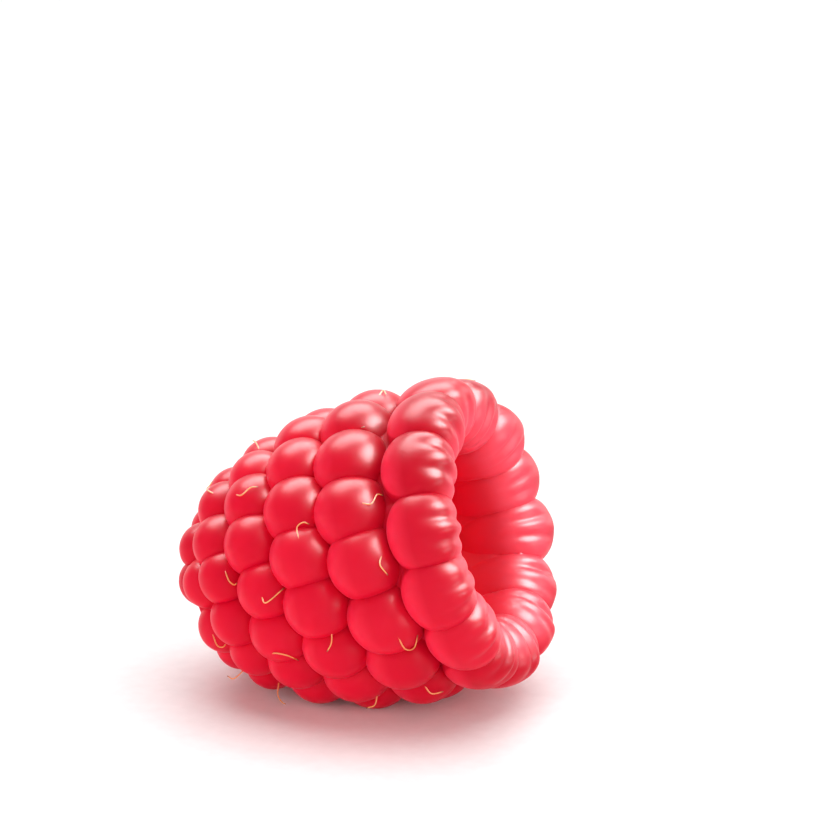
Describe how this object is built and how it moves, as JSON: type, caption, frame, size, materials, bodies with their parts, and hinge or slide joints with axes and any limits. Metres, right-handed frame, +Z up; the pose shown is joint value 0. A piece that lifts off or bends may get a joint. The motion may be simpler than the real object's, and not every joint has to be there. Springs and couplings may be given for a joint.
{
  "type": "raspberry",
  "caption": "Ripe red raspberry without its plug: hollow, tapering fruit of plump drupelets, lying on its side with the open end up and forward.",
  "frame": {"origin": "on the table, under the middle of the fruit's bounding box", "axes": "+Z up; +X towards the open end, which looks forward and up; -X towards the tip; Y across"},
  "size_m": [0.026, 0.0222, 0.0231],
  "materials": {
    "drupelet_skin": "glossy"
  },
  "bodies": {
    "root": {"fruit": "drupelet_skin"}
  },
  "joints": []
}
